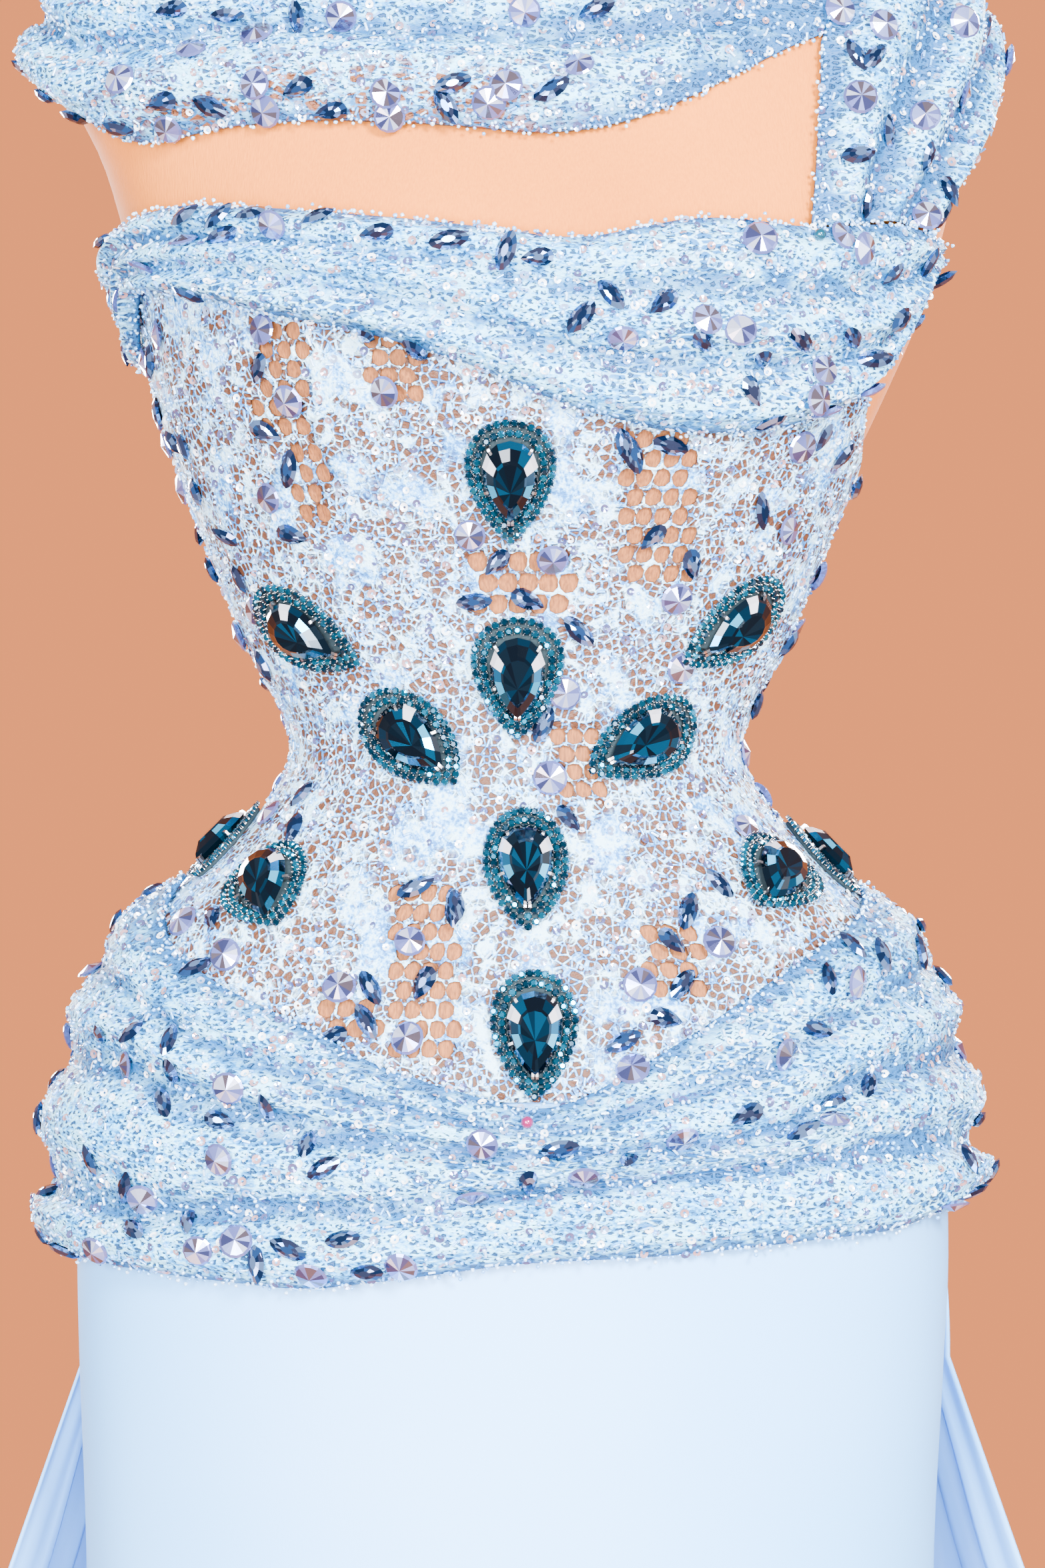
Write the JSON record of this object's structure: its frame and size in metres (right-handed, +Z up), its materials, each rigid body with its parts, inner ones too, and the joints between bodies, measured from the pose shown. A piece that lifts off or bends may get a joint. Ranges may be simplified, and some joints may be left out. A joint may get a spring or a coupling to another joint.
{
  "type": "evening dress on a dress form",
  "caption": "One-shoulder beaded lace evening gown with draped folds, jewels, satin column skirt and pleated train, on a limbless dress form.",
  "frame": {"origin": "centre of the dress form's base plate, on its underside", "axes": "+Z up along the pole, -Y toward the front of the dress, +X toward the strapped shoulder"},
  "size_m": [0.9094, 0.8234, 1.534],
  "materials": {
    "jersey": "matte",
    "cap_wood": "satin",
    "stand_steel": "satin",
    "nude_lining": "matte",
    "beaded_lace": "beaded",
    "draped_lace": "beaded",
    "satin": "sheen",
    "jewel_glass": "faceted"
  },
  "bodies": {
    "root": {"form_torso": "jersey", "form_neck_cap": "cap_wood", "form_pole": "stand_steel", "form_base": "stand_steel", "lining_front": "nude_lining", "lining_back": "nude_lining", "lace_front": "beaded_lace", "lace_back": "beaded_lace", "bust_drape": "draped_lace", "shoulder_strap": "draped_lace", "upper_drape": "draped_lace", "hip_drape": "draped_lace", "skirt_front": "satin", "skirt_back": "satin", "train_right": "satin", "train_middle": "satin", "train_left": "satin", "jewel_01": "jewel_glass", "jewel_02": "jewel_glass", "jewel_03": "jewel_glass", "jewel_04": "jewel_glass", "jewel_05": "jewel_glass", "jewel_06": "jewel_glass", "jewel_07": "jewel_glass", "jewel_08": "jewel_glass", "jewel_09": "jewel_glass", "jewel_10": "jewel_glass", "jewel_11": "jewel_glass", "jewel_12": "jewel_glass"}
  },
  "joints": []
}
